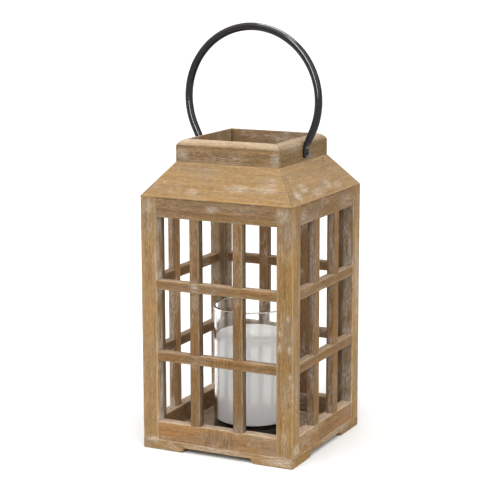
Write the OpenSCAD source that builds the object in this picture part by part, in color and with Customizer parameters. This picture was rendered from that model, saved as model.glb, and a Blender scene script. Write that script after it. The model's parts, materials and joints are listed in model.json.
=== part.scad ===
// Square wooden lantern with a latticed case, a hipped roof, an open collar, a swinging
// bar handle, and a pillar candle in a glass cylinder. Millimetres, +Z up, front towards -Y.
// The origin is on the table under the middle of the case.

/* [Case] */
// Outside width of the square case
case_w = 210; // [190:1:240]
// Height of the post tops above the table
eave_h = 326.5; // [280:0.5:400]

/* [Plinth and floor] */
// Height of the plinth boards
plinth_h = 13; // [11:0.5:20]
// Width of a plinth board, from its outer face inwards
plinth_t = 20; // [18:0.5:28]
// Height of the gap under each side, between the feet
arch_h = 6.5; // [4:0.5:8]
// Length of a foot along each side
foot_l = 57; // [40:1:70]
// Thickness of the floor board
floor_t = 6.5; // [4:0.5:7]
// How far the floor board reaches over each plinth board
rebate_w = 12; // [6:0.5:14]

/* [Posts and rails] */
// Side of a square corner post
post_w = 22; // [20:0.5:30]
// Height of the top and bottom rails
rail_h = 24.5; // [20:0.5:40]
// Thickness of the rails
rail_t = 14.5; // [12:0.5:18]
// How far the rails and the lattice sit back from the post faces
wall_inset = 0.5; // [0:0.1:2]
// Length of the stub tenons on the rails
tenon_l = 6; // [3:0.5:7]
// Thickness of the stub tenons
tenon_t = 6; // [3:0.5:7]
// Height of the stub tenons
tenon_h = 16; // [8:0.5:18]

/* [Lattice] */
// Width of an upright lattice bar
muntin_w = 13.5; // [8:0.5:20]
// Height of a level lattice bar
bar_h = 12.5; // [8:0.5:20]
// Thickness of the lattice bars
lattice_t = 11; // [8:0.5:12]

/* [Roof and collar] */
// Height of the sloping roof, from the post tops to the collar
roof_h = 42; // [25:1:70]
// Height of the upright edge at the eaves
eave_edge = 1.5; // [0.5:0.5:4]
// Thickness of a roof panel, measured level
roof_t = 12; // [8:0.5:14]
// Outside width of the square collar
collar_w = 144; // [130:1:160]
// Height of the collar boards at their inside edge
collar_h = 28.3; // [22:0.1:45]
// Thickness of the collar boards
collar_t = 12; // [9:0.5:14]
// How far the round top edge falls from the inside edge to the outer face
collar_fall = 7.8; // [5:0.1:9]

/* [Handle] */
// Diameter of the handle bar
bar_d = 10; // [6:0.1:11]
// How far the loop reaches out past the flattened ends, to the middle of the bar
loop_out = 16.6; // [14:0.1:30]
// Height of the pivots above the foot of the collar
pivot_up = 11.5; // [8:0.5:15]
// Thickness of the flattened ends
strap_t = 4; // [2.5:0.1:5]
// Width of the flattened ends
strap_w = 11; // [8:0.5:13]
// Height of the bend in the flattened ends above the pivots
bend_up = 7.5; // [6:0.5:12]
// How far the strap's square tip reaches below the pivot
tip_down = 6.6; // [5:0.1:8]
// How far the bar's ends lean outwards above the bend, in degrees
flat_lean = 25; // [15:0.5:30]
// Height above the bend where the flattened ends start to thicken
flat_from = 3; // [1:0.5:5]
// How far up the lean from the bend the bar is round again
flat_to = 15.5; // [10:0.5:18]

/* [Pivot screws] */
// Diameter of the screw shank
shank_d = 4; // [3:0.1:5]
// Length of the screw under its head
screw_l = 12.7; // [10:0.1:14]
// Diameter of the screw head
head_d = 8; // [6.5:0.1:10]
// Height of the screw head
head_h = 1.6; // [1:0.1:4]
// Width of the driver slot
slot_w = 1.2; // [0.8:0.1:1.6]
// Depth of the driver slot
slot_depth = 0.9; // [0.4:0.1:1.4]

/* [Glass, candle and stand] */
// How far the round stand reaches out past the glass
stand_lip = 0; // [0:0.5:4]
// Height of the stand
stand_h = 8; // [4:0.5:15]
// Outside diameter of the glass cylinder
glass_d = 102; // [99:0.5:110]
// Height of the glass cylinder
glass_h = 156.5; // [120:0.5:200]
// Wall of the glass cylinder
glass_wall = 2.6; // [1.5:0.1:3]
// Thickness of the glass bottom
glass_base = 5; // [3:0.5:8]
// Outer radius at the foot of the glass
glass_foot_r = 4; // [2:0.5:5]
// Inner radius at the bottom of the glass
glass_inner_r = 2; // [1:0.5:4]
// Gap between the pillar candle and the glass wall
candle_gap = 1.9; // [0.5:0.1:15]
// Height of the pillar candle
candle_h = 114; // [60:1:130]
// Radius of the candle's top edge
candle_edge_r = 2; // [1:0.5:4]
// Diameter of the wick
wick_d = 2; // [1:0.1:3]
// Height of the wick above the candle
wick_up = 8; // [4:0.5:15]

/* [Fits] */
// Gap under a piece that lifts off its seat
seat_gap = 0.3; // [0.1:0.1:0.5]
// Gap between the collar and the flattened ends
side_gap = 0.5; // [0.3:0.1:1]
// Gap between the flattened ends and the screw heads
head_gap = 0.3; // [0.2:0.1:0.6]
// Clearance around a screw shank in the flattened ends
pivot_fit = 0.08; // [0.05:0.01:0.1]
// Clearance around a screw shank in the wood
pilot_fit = 0.05; // [0.02:0.01:0.1]
// Clearance around a stub tenon
tenon_fit = 0.15; // [0.05:0.05:0.3]
// Clearance around the floor board
floor_fit = 0.3; // [0.1:0.1:1]
// Clearance around the wick
wick_fit = 0.05; // [0.02:0.01:0.1]

/* [Hidden] */
$fn = 64;
SIDES = ["front", "right", "back", "left"];
CORNERS = ["front_left", "front_right", "back_right", "back_left"];

weathered = "#a08360";
roof_tan = "#b08d62";
shaded = "#7d6850";
black = "#1c1c1e";

half = case_w / 2;
rail_len = case_w - 2 * post_w;
sill = plinth_h + rail_h;              // foot of the window band
head = eave_h - rail_h;                // top of the window band
wall_y = -half + wall_inset;           // outer face of the front wall
muntin_x = (rail_len + muntin_w) / 6;  // three equal windows across
pane_h = (head - sill - 2 * bar_h) / 3;
lower_z = sill + pane_h + bar_h / 2;
upper_z = head - pane_h - bar_h / 2;
collar_z = eave_h + roof_h;
collar_r = (collar_t ^ 2 + collar_fall ^ 2) / 2 / collar_fall;  // radius of the round top edge
pivot_z = collar_z + pivot_up;
strap_x = collar_w / 2 + side_gap + strap_t / 2;
bend_z = pivot_z + bend_up;
loop_r = strap_x + loop_out;
// The bar's end leans from the bend to where it touches the loop.
flat_l = (loop_r * cos(flat_lean) - strap_x) / sin(flat_lean);
loop_z = bend_z + flat_l * cos(flat_lean) + loop_r * sin(flat_lean);
shank_x = collar_w / 2 + side_gap + strap_t + head_gap;
stand_d = glass_d + 2 * stand_lip;
candle_d = glass_d - 2 * glass_wall - 2 * candle_gap;
glass_z = plinth_h + stand_h + seat_gap;
candle_z = glass_z + glass_base + seat_gap;
cut = 1;                               // how far a cutting shape runs past a face
bar_lap = 2;                           // how far the bar's straight ends run into the loop
bar_step = 0.05;                       // how much thinner their radius is than the loop's

// Turns a piece of the front side to side n, counted to the right.
module on_side(n) rotate([0, 0, 90 * n]) children();

// A profile drawn in (y, z), drawn out along x.
module along_x(length) translate([-length / 2, 0, 0]) rotate([90, 0, 90]) linear_extrude(length) children();

// Keeps what lies between the two mitre planes of the front side.
module mitred() intersection() {
    children();
    translate([0, 0, -cut]) linear_extrude(collar_z + collar_h + 2 * cut)
        polygon([[0, 0], [-case_w, -case_w], [case_w, -case_w]]);
}

module plinth_board() color(weathered) mitred() difference() {
    along_x(case_w) polygon([
        [-half, 0], [-half + plinth_t, 0], [-half + plinth_t, plinth_h - floor_t],
        [-half + plinth_t - rebate_w, plinth_h - floor_t], [-half + plinth_t - rebate_w, plinth_h],
        [-half, plinth_h]]);
    translate([-half + foot_l, -half - cut, -cut])
        cube([case_w - 2 * foot_l, plinth_t + 2 * cut, arch_h + cut]);
}

module floor_board() color(shaded) {
    side = case_w - 2 * (plinth_t - rebate_w + floor_fit);
    translate([-side / 2, -side / 2, plinth_h - floor_t]) cube([side, side, floor_t]);
}

// The stub tenon of a rail end at the left post, and the mortise when it is grown by a fit.
module tenon(rail_z, fit) translate([-half + post_w - tenon_l - fit,
        wall_y + (rail_t - tenon_t) / 2 - fit, rail_z + (rail_h - tenon_h) / 2 - fit])
    cube([tenon_l + fit + cut, tenon_t + 2 * fit, tenon_h + 2 * fit]);

module post() color(weathered) difference() {
    translate([-half, -half, plinth_h]) cube([post_w, post_w, eave_h - plinth_h]);
    for (rail_z = [plinth_h, head]) {
        tenon(rail_z, tenon_fit);
        mirror([1, -1, 0]) tenon(rail_z, tenon_fit);
    }
}

module rail(rail_z) color(weathered) {
    translate([-rail_len / 2, wall_y, rail_z]) cube([rail_len, rail_t, rail_h]);
    for (end = [0, 1]) mirror([end, 0, 0]) tenon(rail_z, 0);
}

// The level bars run across the front of the half laps.
module bar(z) color(weathered) difference() {
    translate([-rail_len / 2, wall_y, z - bar_h / 2]) cube([rail_len, lattice_t, bar_h]);
    for (x = [-muntin_x, muntin_x])
        translate([x - muntin_w / 2, wall_y + lattice_t / 2, z - bar_h / 2 - cut])
            cube([muntin_w, lattice_t, bar_h + 2 * cut]);
}

module muntin(x) color(weathered) difference() {
    translate([x - muntin_w / 2, wall_y, sill]) cube([muntin_w, lattice_t, head - sill]);
    for (z = [lower_z, upper_z])
        translate([x - muntin_w / 2 - cut, wall_y - lattice_t / 2, z - bar_h / 2])
            cube([muntin_w + 2 * cut, lattice_t, bar_h]);
}

module roof_panel() color(roof_tan) mitred() along_x(case_w) polygon([
    [-half, eave_h], [-half + roof_t, eave_h],
    [-collar_w / 2 + roof_t, collar_z], [-collar_w / 2, collar_z], [-half, eave_h + eave_edge]]);

module collar_board() color(weathered) mitred() along_x(collar_w)
    translate([-collar_w / 2, collar_z]) intersection() {
        square([collar_t, collar_h]);
        union() {
            square([collar_t, collar_h - collar_fall]);
            translate([collar_t, collar_h - collar_r]) circle(r = collar_r);
        }
    }

// A round hole or shank on the pivot axis of the right side, from x outwards.
module on_pivot(x, length, d) translate([x, 0, pivot_z]) rotate([0, 90, 0]) cylinder(h = length, d = d);

module pivot_collar_board() color(weathered) difference() {
    collar_board();
    rotate([0, 0, -90]) on_pivot(shank_x - screw_l - pilot_fit, screw_l, shank_d + 2 * pilot_fit);
}

// The round bar below the loop. It is flattened towards the bend: its inside is level with the
// strap's inside face, and its outside runs in to the strap's outside face.
module bar_end() {
    inside = strap_x - strap_t / 2;
    outside = strap_x + strap_t / 2;
    neck = [outside, bend_z + flat_from];
    full = [strap_x, bend_z] + min(flat_to, flat_l) * [sin(flat_lean), cos(flat_lean)]
        + bar_d / 2 * [cos(flat_lean), -sin(flat_lean)];
    past = full + (full - neck) / 4;
    difference() {
        translate([strap_x, 0, bend_z]) rotate([0, flat_lean, 0])
            translate([0, 0, -strap_t / 2])
                cylinder(h = flat_l + strap_t / 2 + bar_lap, d = bar_d - 2 * bar_step);
        rotate([90, 0, 0]) linear_extrude(bar_d + 2 * cut, center = true) {
            polygon([[0, pivot_z], [inside, pivot_z], [inside, loop_z], [0, loop_z]]);
            polygon([[outside, pivot_z], [case_w, pivot_z], [case_w, past[1]], past, neck]);
        }
    }
}

module handle_end() difference() {
    union() {
        bar_end();
        translate([strap_x - strap_t / 2, -strap_w / 2, pivot_z - tip_down])
            cube([strap_t, strap_w, tip_down + bend_up]);
    }
    on_pivot(0, case_w, shank_d + 2 * pivot_fit);
}

module handle() color(black) {
    translate([0, 0, loop_z]) rotate([90, 0, 0]) rotate([0, 0, -flat_lean])
        rotate_extrude(angle = 180 + 2 * flat_lean) translate([loop_r, 0]) circle(d = bar_d);
    for (end = [0, 1]) mirror([end, 0, 0]) handle_end();
}

module pivot_screws() color(black) for (end = [0, 1]) mirror([end, 0, 0]) {
    on_pivot(shank_x - screw_l, screw_l, shank_d);
    difference() {
        on_pivot(shank_x, head_h, head_d);
        translate([shank_x + head_h - slot_depth, -head_d, pivot_z - slot_w / 2])
            cube([head_h, 2 * head_d, slot_w]);
    }
}

module glass_stand() color(black) translate([0, 0, plinth_h]) cylinder(h = stand_h, d = stand_d);

module glass_cylinder() color("lightcyan", 0.4) translate([0, 0, glass_z]) rotate_extrude() {
    inner = glass_d / 2 - glass_wall;
    difference() {
        union() {
            translate([0, glass_foot_r])
                square([glass_d / 2, glass_h - glass_foot_r - glass_wall / 2]);
            square([glass_d / 2 - glass_foot_r, glass_foot_r]);
            translate([glass_d / 2 - glass_foot_r, glass_foot_r]) circle(glass_foot_r);
            translate([inner + glass_wall / 2, glass_h - glass_wall / 2]) circle(d = glass_wall);
        }
        translate([0, glass_base + glass_inner_r]) square([inner, glass_h]);
        translate([0, glass_base]) square([inner - glass_inner_r, glass_h]);
        translate([inner - glass_inner_r, glass_base + glass_inner_r]) circle(glass_inner_r);
    }
}

module candle() color("ivory") translate([0, 0, candle_z]) rotate_extrude() {
    bore = wick_d / 2 + wick_fit;
    translate([bore, 0]) square([candle_d / 2 - bore, candle_h - candle_edge_r]);
    translate([bore, 0]) square([candle_d / 2 - bore - candle_edge_r, candle_h]);
    translate([candle_d / 2 - candle_edge_r, candle_h - candle_edge_r]) circle(candle_edge_r);
}

module wick() color("linen") translate([0, 0, candle_z]) cylinder(h = candle_h + wick_up, d = wick_d);

for (n = [0:3]) {
    side = SIDES[n];
    on_side(n) plinth_board();
    on_side(n) post();
    on_side(n) rail(head);
    on_side(n) rail(plinth_h);
    on_side(n) bar(upper_z);
    on_side(n) bar(lower_z);
    on_side(n) muntin(-muntin_x);
    on_side(n) muntin(muntin_x);
    on_side(n) roof_panel();
}
for (n = [0, 2])
    on_side(n) collar_board();
for (n = [1, 3])
    on_side(n) pivot_collar_board();
floor_board();
handle();
pivot_screws();
glass_stand();
glass_cylinder();
candle();
wick();
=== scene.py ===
import json
import math

import bpy
import numpy as np
from mathutils import Matrix, Vector


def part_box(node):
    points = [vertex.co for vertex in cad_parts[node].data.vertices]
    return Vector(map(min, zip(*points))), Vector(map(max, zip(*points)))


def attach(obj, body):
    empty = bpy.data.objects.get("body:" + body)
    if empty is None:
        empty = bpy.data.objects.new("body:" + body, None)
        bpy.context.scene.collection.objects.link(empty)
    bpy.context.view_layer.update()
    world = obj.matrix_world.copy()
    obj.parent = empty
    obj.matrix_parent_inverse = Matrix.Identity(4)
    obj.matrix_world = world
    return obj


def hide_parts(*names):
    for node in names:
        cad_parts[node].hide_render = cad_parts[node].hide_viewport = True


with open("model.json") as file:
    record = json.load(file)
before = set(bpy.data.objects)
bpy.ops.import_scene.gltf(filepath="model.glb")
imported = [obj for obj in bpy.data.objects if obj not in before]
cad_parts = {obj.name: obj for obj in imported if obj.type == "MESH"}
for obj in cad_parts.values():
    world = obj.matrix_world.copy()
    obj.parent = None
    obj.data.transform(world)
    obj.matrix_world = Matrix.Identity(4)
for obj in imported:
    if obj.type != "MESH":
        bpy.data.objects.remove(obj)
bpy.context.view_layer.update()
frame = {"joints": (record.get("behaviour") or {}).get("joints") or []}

scene = bpy.context.scene
scene.view_settings.view_transform = "Standard"
mm = 0.001
luck = np.random.default_rng(41)


# A CAD node's lowest and highest corners at rest.
def boxOf(node):
    low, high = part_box(node)
    return np.array(low), np.array(high)


postLow, postHigh = boxOf("front_left_post")
barLow, barHigh = boxOf("front_upper_bar")
lowerLow, lowerHigh = boxOf("front_lower_bar")
muntinLow, muntinHigh = boxOf("front_muntin_1")
topLow, topHigh = boxOf("front_top_rail")
bottomLow, bottomHigh = boxOf("front_bottom_rail")
plinthHigh = boxOf("front_plinth")[1]
floorLow, floorHigh = boxOf("floor_board")
roofLow, roofHigh = boxOf("front_roof_panel")
collarLow, collarHigh = boxOf("front_collar_board")
handleHigh = boxOf("handle")[1]
screwHigh = boxOf("pivot_screws")[1]
standLow, standHigh = boxOf("glass_stand")
glassLow, glassHigh = boxOf("glass_cylinder")
candleLow, candleHigh = boxOf("candle")
wickHigh = boxOf("wick")[1]
pivotZ = frame["joints"][0]["pos_m"][2]

half = -postLow[0]                     # half the width of the case
openHalf = -postHigh[0]                # half the opening between two posts
sides = ["front", "right", "back", "left"]
corners = ["front_left", "front_right", "back_right", "back_left"]
print("frame read: case", round(2 * half / mm), "mm wide")


# A value between 0 and 1 that rises smoothly as x goes from a to b.
def smooth(x, a, b):
    t = np.clip((x - a) / (b - a), 0, 1)
    return t * t * (3 - 2 * t)


# Smooth noise from 0 to 1: random values on a grid, one cell per unit, blended between.
def softNoise(u, v, table):
    i, j = np.floor(u).astype(int), np.floor(v).astype(int)
    a, b = u - i, v - j
    a, b = a * a * (3 - 2 * a), b * b * (3 - 2 * b)
    n, m = table.shape
    pick = lambda p, q: table[p % n, q % m]
    return ((1 - a) * (1 - b) * pick(i, j) + a * (1 - b) * pick(i + 1, j)
            + (1 - a) * b * pick(i, j + 1) + a * b * pick(i + 1, j + 1))


# Rows of points, each a closed ring, become one skin of four-sided faces. A pole is one more
# point that closes an end with triangles. values holds what is kept at each point, by name.
def gridMesh(name, points, startPole, endPole, values=None):
    rows, cols = points.shape[:2]
    count = rows * cols
    index = np.arange(count).reshape(rows, cols)
    a, b = index[:-1], index[1:]
    quads = np.stack([a, np.roll(a, -1, 1), np.roll(b, -1, 1), b], -1).reshape(-1, 4)
    verts = np.vstack([points.reshape(-1, 3), startPole, endPole])
    firstRow, lastRow = index[0], index[-1]
    tris = np.concatenate([np.stack([np.roll(firstRow, -1), firstRow, np.full(cols, count)], -1),
                           np.stack([lastRow, np.roll(lastRow, -1), np.full(cols, count + 1)], -1)])
    faceCorners = np.concatenate([quads.ravel(), tris.ravel()])
    sizes = np.concatenate([np.full(len(quads), 4), np.full(len(tris), 3)])
    mesh = bpy.data.meshes.new(name)
    mesh.vertices.add(len(verts))
    mesh.vertices.foreach_set("co", verts.astype(np.float32).ravel())
    mesh.loops.add(len(faceCorners))
    mesh.loops.foreach_set("vertex_index", faceCorners.astype(np.int32))
    mesh.polygons.add(len(sizes))
    mesh.polygons.foreach_set("loop_start", (np.cumsum(sizes) - sizes).astype(np.int32))
    mesh.update(calc_edges=True)
    mesh.validate()
    mesh.shade_smooth()
    mesh.set_sharp_from_angle(angle=math.radians(50))
    for key, value in (values or {}).items():
        flat = value.reshape(count, -1)
        average = flat.mean(0, keepdims=True)                # the two poles get the average
        flat = np.vstack([flat, average, average])
        kind, field = ("FLOAT_VECTOR", "vector") if flat.shape[1] == 3 else ("FLOAT", "value")
        layer = mesh.attributes.new(key, kind, "POINT")
        layer.data.foreach_set(field, flat.astype(np.float32).ravel())
    piece = bpy.data.objects.new(name, mesh)
    scene.collection.objects.link(piece)
    return piece


# Gives a piece its material, the CAD nodes that it stands for and the body that it rides on.
# slotName, the slot that it would take its finish from, is not used.
def finishPiece(piece, material, body, slotName, *nodes):
    piece.data.materials.append(material)
    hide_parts(*nodes)
    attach(piece, body)
    return piece


# sRGB hex to the linear colour that shaders take.
def hexColor(text):
    parts = [int(text[i:i + 2], 16) / 255 for i in (0, 2, 4)]
    return [c / 12.92 if c <= 0.04045 else ((c + 0.055) / 1.055) ** 2.4 for c in parts] + [1]


# Adds a node. inputs holds what goes into its sockets, as links or plain values.
def addNode(material, kind, inputs=None, **settings):
    tree = material.node_tree
    node = tree.nodes.new(kind)
    for key, value in settings.items():
        setattr(node, key, value)
    for key, value in (inputs or {}).items():
        if isinstance(value, bpy.types.NodeSocket):
            tree.links.new(value, node.inputs[key])
        else:
            node.inputs[key].default_value = value
    return node


# A material with an empty node tree.
def newMaterial(name):
    material = bpy.data.materials.new(name)
    material.use_nodes = True
    material.node_tree.nodes.clear()
    return material


# Joins the shader to the material's output, and hands the material back.
def output(material, shader):
    addNode(material, "ShaderNodeOutputMaterial", {"Surface": shader.outputs[0]})
    return material


# Each pattern in the wood is (long, wide, detail, roughness): how long its spots are along the
# grain and how wide across it, in millimetres, and how its noise is broken up.
caseLook = dict(name="brushed fir, thin whitewash",
                mid="8B6C42", dark="5A442B", light="AA8A58", grey="7F7261", amber="A8722F",
                # the inner shade is the colour of the painted shade on faces inside the case, and the grime
                # colour that of dark joints and dirt together with painted shade
                wash="CFC7BB", innerShade="6A523A", edge="BAA077", grimeAndShade="443425",
                rings=(150, 4.2, 2.0, 0.55),       # yearly rings
                resin=(120, 3.4, 2.0, 0.5),        # amber streaks
                fibres=(15, 1.2, 3.0, 0.65),       # drawn coarser than real ones, so that they show
                flecks=(5.5, 1.1, 1.0, 0.6),       # short pores with paint in them
                clouds=(75, 30, 2.0, 0.5),
                patches=(42, 20, 3.0, 0.6),        # of whitewash
                chips=(16, 4, 2.0, 0.5),           # along the worn arrises
                sawMarks=(1.7, 16, 2.0, 0.5),      # across the grain
                fleckShare=0.37, contrast=0.85, haze=0.33, rough=0.85, relief=0.2 * mm)
roofLook = dict(caseLook, name="sanded fir roof boards, thin whitewash",
                mid="8E6D3F", dark="6A502E", light="AB8A55", fibres=(32, 1.1, 3.0, 0.65),
                fleckShare=0.16, contrast=0.65, haze=0.28)


# Fir: soft wood whose hard late rings stand proud after wire brushing, stained brown, with
# thin white paint left in the pores and on the worn arrises. The eye sees fine streaks along
# every board, soft warm and grey clouds, hazy white patches and pale scuffed edges.
def firMaterial(look):
    m = newMaterial(look["name"])
    grain = addNode(m, "ShaderNodeAttribute", attribute_name="grain").outputs["Vector"]
    value = {}                             # every mark, pattern and step, by name
    for key in ("worn", "inner", "wash", "grimeAndShade", "ticks", "tone", "warm", "red"):
        value[key] = addNode(m, "ShaderNodeAttribute", attribute_name=key).outputs["Fac"]

    for key in ("rings", "resin", "fibres", "flecks", "clouds", "patches", "chips", "sawMarks"):
        long, wide, detail, rough = look[key]
        scale = (1000 / long, 1000 / wide, 1000 / wide)
        place = addNode(m, "ShaderNodeMapping", {"Vector": grain, "Scale": scale}).outputs[0]
        value[key] = addNode(m, "ShaderNodeTexNoise",
                             {"Vector": place, "Scale": 1.0, "Detail": detail,
                              "Roughness": rough}).outputs["Fac"]

    # where a pattern shows, as (name, pattern, value from which it shows, value at which it is
    # full, strength)
    bold = 0.5 * look["contrast"]
    for key, pattern, low, high, strength in [
            ("ringShade", "rings", 0.4, 0.66, 0.4),
            ("amber", "resin", 0.56, 0.74, 0.55),
            ("paleFibres", "fibres", 0.5, 0.72, bold),
            ("darkFibres", "fibres", 0.5, 0.28, bold),
            ("paleFlecks", "flecks", 0.5, 0.74, look["fleckShare"]),
            ("darkFlecks", "flecks", 0.5, 0.26, look["fleckShare"]),
            ("cloudy", "clouds", 0.5, 0.75, 0.45),
            ("sawn", "sawMarks", 0.4, 0.62, 1.0),
            ("openPores", "fibres", 0.36, 0.66, 1.0),
            ("openFlecks", "flecks", 0.42, 0.66, 1.0),
            ("hazy", "patches", 0.46, 0.74, look["haze"]),
            ("chipped", "chips", 0.4, 0.62, 1.0)]:
        value[key] = addNode(m, "ShaderNodeMapRange",
                             {"Value": value[pattern], "From Min": low, "From Max": high,
                              "To Max": strength}, interpolation_type="SMOOTHSTEP").outputs[0]

    # The whitewash is a haze in broad patches, broken up by the pores. It is thicker where wash
    # is painted, and inside, where it wasn't rubbed down.
    for key, how, *terms in [
            ("inPores", "MULTIPLY", "openPores", 0.45),
            ("inFlecks", "MULTIPLY", "openFlecks", 0.55),
            ("broken", "ADD", "inPores", "inFlecks"),
            ("haze", "MULTIPLY", "hazy", "broken"),
            ("unrubbed", "ADD", 1.0, "inner"),
            ("haze", "MULTIPLY", "haze", "unrubbed"),
            ("cover", "MULTIPLY", "broken", 0.8),
            ("cover", "ADD", "cover", 0.2),
            ("thick", "MULTIPLY", "wash", "cover"),
            ("whitewash", "MAXIMUM", "haze", "thick"),
            ("chipped", "MULTIPLY", "chipped", 0.6),
            ("chipped", "ADD", "chipped", 0.4),
            ("scuffs", "MULTIPLY", "worn", "chipped"),
            # inside: painted shade on the faces that look sideways or into the case
            ("inside", "MULTIPLY", "inner", 0.45),
            ("sawLines", "MULTIPLY", "ticks", 0.34),
            # darkening: dark joints, dirt and scars, with painted shade deep inside, under the eaves and
            # along the plinth's underside
            ("darkening", "MULTIPLY", "grimeAndShade", 0.85),
            ("softRings", "MULTIPLY", "rings", 0.7),
            ("height", "ADD", "fibres", "softRings"),
            ("hue", "MULTIPLY_ADD", "red", -0.008, 0.5)]:
        inputs = {socket: value.get(term, term) for socket, term in enumerate(terms)}
        value[key] = addNode(m, "ShaderNodeMath", inputs, operation=how).outputs[0]

    value["sawn"] = addNode(m, "ShaderNodeMix",
                            {0: value["sawn"], 6: hexColor(look["dark"]), 7: hexColor(look["light"])},
                            data_type="RGBA").outputs[2]
    color = hexColor(look["mid"])
    for share, shade in [("ringShade", "dark"), ("amber", "amber"), ("paleFibres", "light"),
                         ("darkFibres", "dark"), ("paleFlecks", "light"), ("darkFlecks", "dark"),
                         ("cloudy", "grey"), ("inside", "innerShade"), ("sawLines", "sawn"),
                         ("whitewash", "wash"), ("scuffs", "edge"), ("darkening", "grimeAndShade")]:
        over = hexColor(look[shade]) if shade in look else value[shade]
        color = addNode(m, "ShaderNodeMix", {0: value[share], 6: color, 7: over},
                        data_type="RGBA").outputs[2]

    # tone is how light each board is, painted light and shade included, warm how strong its stain is, red
    # how far that leans to red
    stained = addNode(m, "ShaderNodeHueSaturation",
                      {"Hue": value["hue"], "Saturation": value["warm"], "Value": value["tone"],
                       "Color": color}).outputs[0]
    bump = addNode(m, "ShaderNodeBump",
                   {"Height": value["height"], "Distance": look["relief"], "Strength": 0.4})
    shader = addNode(m, "ShaderNodeBsdfPrincipled",
                     {"Base Color": stained, "Roughness": look["rough"], "IOR": 1.5,
                      "Specular IOR Level": 0.2, "Normal": bump.outputs[0]})
    return output(m, shader)


ironLook = dict(deep="110E0F", dusty="1B1717", gloss=(0.08, 0.15), beatenGloss=0.2,
                hammerMarks=160, dust=700, relief=0.2 * mm)     # marks and dust: spots to a metre


# Mild steel bar, forged and painted satin black: near black, with long cool highlights that are
# duller on the beaten flats.
def blackSteelMaterial(look):
    m = newMaterial("forged steel, satin black paint")
    place = addNode(m, "ShaderNodeTexCoord").outputs["Object"]
    hammer = addNode(m, "ShaderNodeTexNoise",
                     {"Vector": place, "Scale": look["hammerMarks"], "Detail": 2.0}).outputs["Fac"]
    dust = addNode(m, "ShaderNodeTexNoise",
                   {"Vector": place, "Scale": look["dust"], "Detail": 3.0}).outputs["Fac"]
    color = addNode(m, "ShaderNodeMix", {0: dust, 6: hexColor(look["deep"]), 7: hexColor(look["dusty"])},
                    data_type="RGBA").outputs[2]
    smoothest, roughest = look["gloss"]
    rough = addNode(m, "ShaderNodeMapRange",
                    {"Value": dust, "To Min": smoothest, "To Max": roughest}).outputs[0]
    beaten = addNode(m, "ShaderNodeAttribute", attribute_name="beaten").outputs["Fac"]
    rough = addNode(m, "ShaderNodeMath", {0: beaten, 1: look["beatenGloss"], 2: rough},
                    operation="MULTIPLY_ADD").outputs[0]
    bump = addNode(m, "ShaderNodeBump",
                   {"Height": hammer, "Distance": look["relief"], "Strength": 0.5}).outputs[0]
    shader = addNode(m, "ShaderNodeBsdfPrincipled",
                     {"Base Color": color, "Roughness": rough, "IOR": 1.5,
                      "Specular IOR Level": 0.25, "Normal": bump})
    return output(m, shader)


# Soda-lime glass, blown and fire polished: clear, with a bright rim and a darker foot.
def glassMaterial():
    m = newMaterial("clear soda-lime glass")
    shader = addNode(m, "ShaderNodeBsdfPrincipled",
                     {"Base Color": hexColor("FFFFFF"), "Roughness": 0.0, "IOR": 1.5,
                      "Transmission Weight": 1.0})
    return output(m, shader)


# foot is the grey of the painted shade low on the candle
waxLook = dict(pale="FDFCFA", deep="F6F4F1", foot="EFEDEE", footShadeFrom=85 * mm, footShadeTo=35 * mm,
               clouds=38, skin=450, relief=0.1 * mm,            # clouds and skin: spots to a metre
               scatter=(12 * mm, 9 * mm, 6 * mm))


# Paraffin wax, moulded: milky, lit from inside near its edges, with a soft satin skin, and
# painted greyer towards its foot as painted shade low in the lantern.
def waxMaterial(look):
    m = newMaterial("ivory paraffin wax")
    place = addNode(m, "ShaderNodeTexCoord").outputs["Object"]
    cloud = addNode(m, "ShaderNodeTexNoise",
                    {"Vector": place, "Scale": look["clouds"], "Detail": 3.0}).outputs["Fac"]
    color = addNode(m, "ShaderNodeMix", {0: cloud, 6: hexColor(look["pale"]), 7: hexColor(look["deep"])},
                    data_type="RGBA").outputs[2]
    height = addNode(m, "ShaderNodeSeparateXYZ", {"Vector": place}).outputs["Z"]
    # painted shade: the wax greys towards the foot
    dusty = addNode(m, "ShaderNodeMapRange",
                    {"Value": height, "From Min": look["footShadeTo"], "From Max": look["footShadeFrom"],
                     "To Min": 1.0, "To Max": 0.0}).outputs[0]
    color = addNode(m, "ShaderNodeMix", {0: dusty, 6: color, 7: hexColor(look["foot"])},
                    data_type="RGBA").outputs[2]
    skin = addNode(m, "ShaderNodeTexNoise",
                   {"Vector": place, "Scale": look["skin"], "Detail": 2.0}).outputs["Fac"]
    bump = addNode(m, "ShaderNodeBump",
                   {"Height": skin, "Distance": look["relief"], "Strength": 0.4}).outputs[0]
    shader = addNode(m, "ShaderNodeBsdfPrincipled",
                     {"Base Color": color, "Roughness": 0.45, "IOR": 1.44,
                      "Subsurface Weight": 0.25, "Subsurface Radius": look["scatter"],
                      "Subsurface Scale": 1.0, "Normal": bump})
    return output(m, shader)


cottonLook = dict(shade="F1EEE8", light="FBF9F5", strands=320, relief=0.15 * mm)


# Braided cotton, waxed: off-white, with the braid's slanting strands.
def cottonMaterial(look):
    m = newMaterial("waxed cotton braid")
    place = addNode(m, "ShaderNodeTexCoord").outputs["Object"]
    strands = addNode(m, "ShaderNodeTexWave",
                      {"Vector": place, "Scale": look["strands"], "Distortion": 1.5},
                      bands_direction="DIAGONAL").outputs["Fac"]
    color = addNode(m, "ShaderNodeMix",
                    {0: strands, 6: hexColor(look["shade"]), 7: hexColor(look["light"])},
                    data_type="RGBA").outputs[2]
    bump = addNode(m, "ShaderNodeBump", {"Height": strands, "Distance": look["relief"]}).outputs[0]
    shader = addNode(m, "ShaderNodeBsdfPrincipled",
                     {"Base Color": color, "Roughness": 0.8, "Normal": bump})
    return output(m, shader)


plateLook = dict(deep="0B0908", dusty="161210", powder=900, relief=0.1 * mm)


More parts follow.
